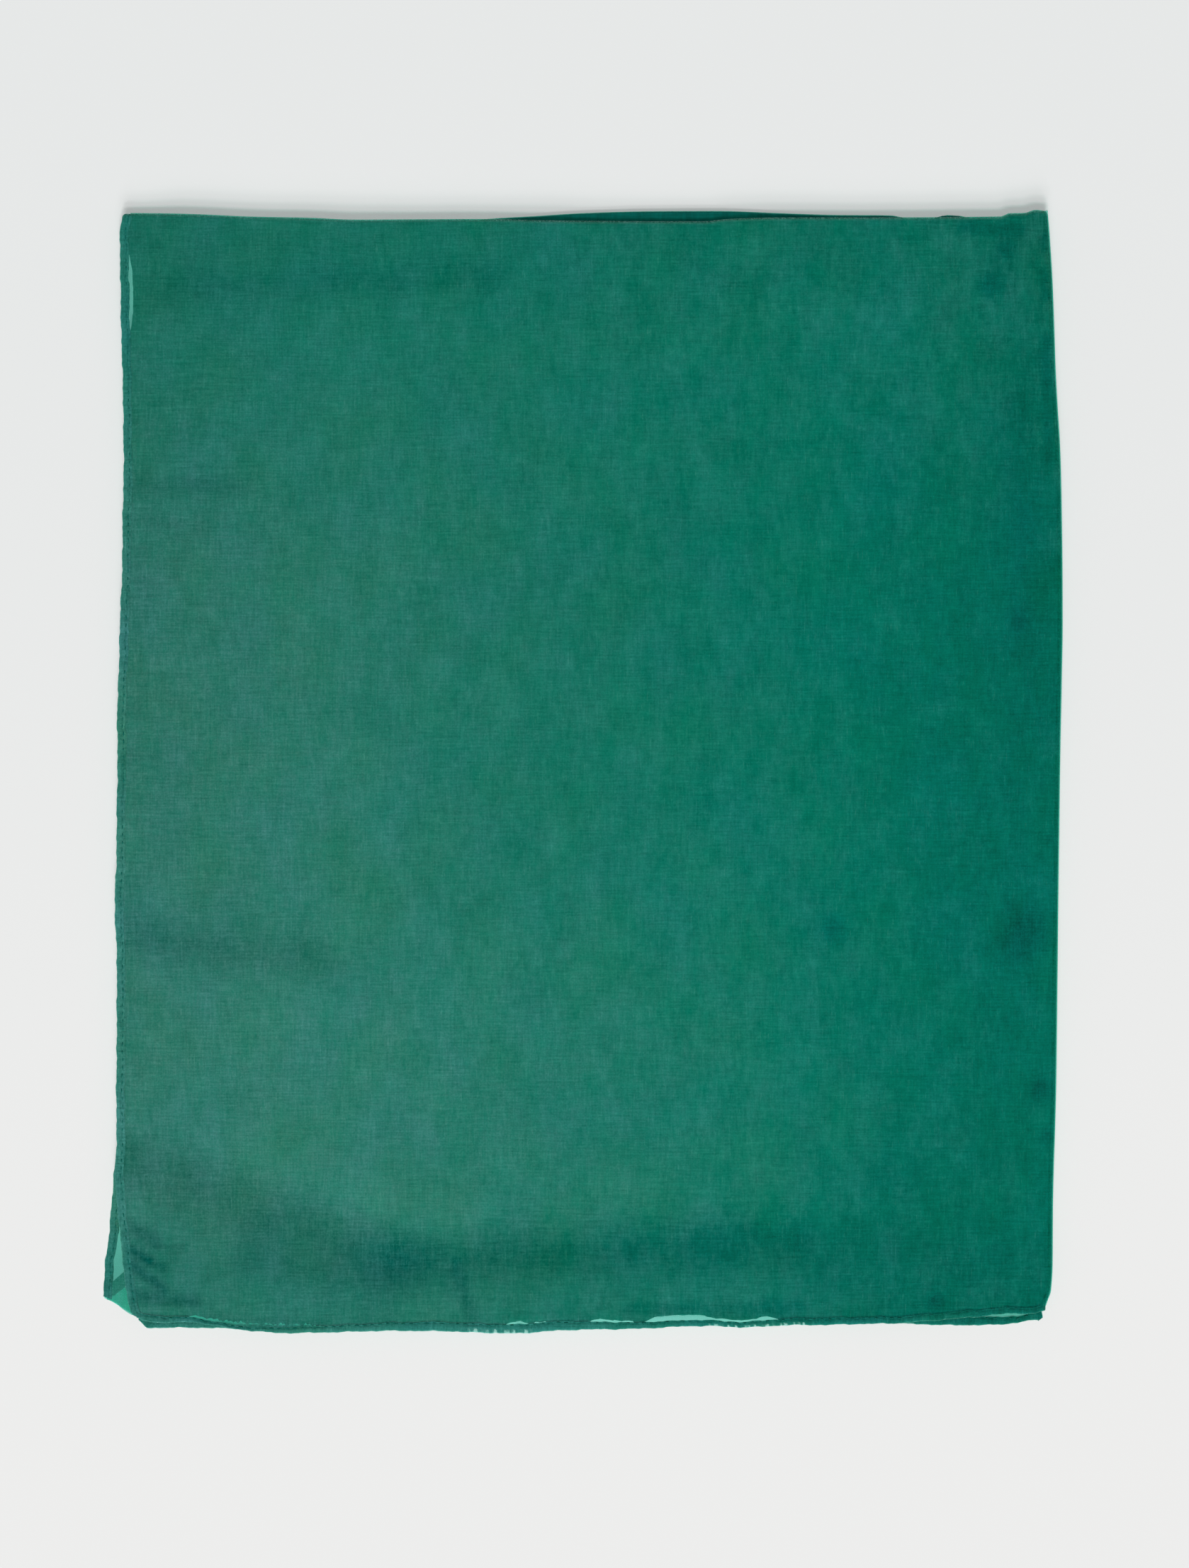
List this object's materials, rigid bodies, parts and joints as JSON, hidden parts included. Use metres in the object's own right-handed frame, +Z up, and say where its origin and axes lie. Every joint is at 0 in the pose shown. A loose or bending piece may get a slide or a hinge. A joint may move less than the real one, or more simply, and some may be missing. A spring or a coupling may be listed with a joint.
{
  "type": "folded voile scarf",
  "caption": "Thin plain-woven scarf with a narrow stitched hem, folded into a flat rectangular packet of stacked plies that rests on a surface.",
  "frame": {"origin": "on the surface that the scarf lies on, under the middle of the folded packet", "axes": "+X across the packet to its folded side, +Y up its longer side to the other folded edge, +Z up from the surface"},
  "size_m": [0.4073, 0.4773, 0.0079],
  "materials": {
    "voile": "sheer deep green cotton voile, plain weave with fine slubs, matt with a faint sheen",
    "voile_hem": "the same voile turned under and stitched, so three layers deep and darker",
    "voile_stack": "the same voile seen several plies deep"
  },
  "bodies": {
    "root": {"top_ply": "voile", "top_hem_left": "voile_hem", "top_hem_bottom": "voile_hem", "hidden_plies": "voile_stack", "lower_ply": "voile", "lower_hem_left": "voile_hem", "lower_hem_bottom": "voile_hem"}
  },
  "joints": []
}
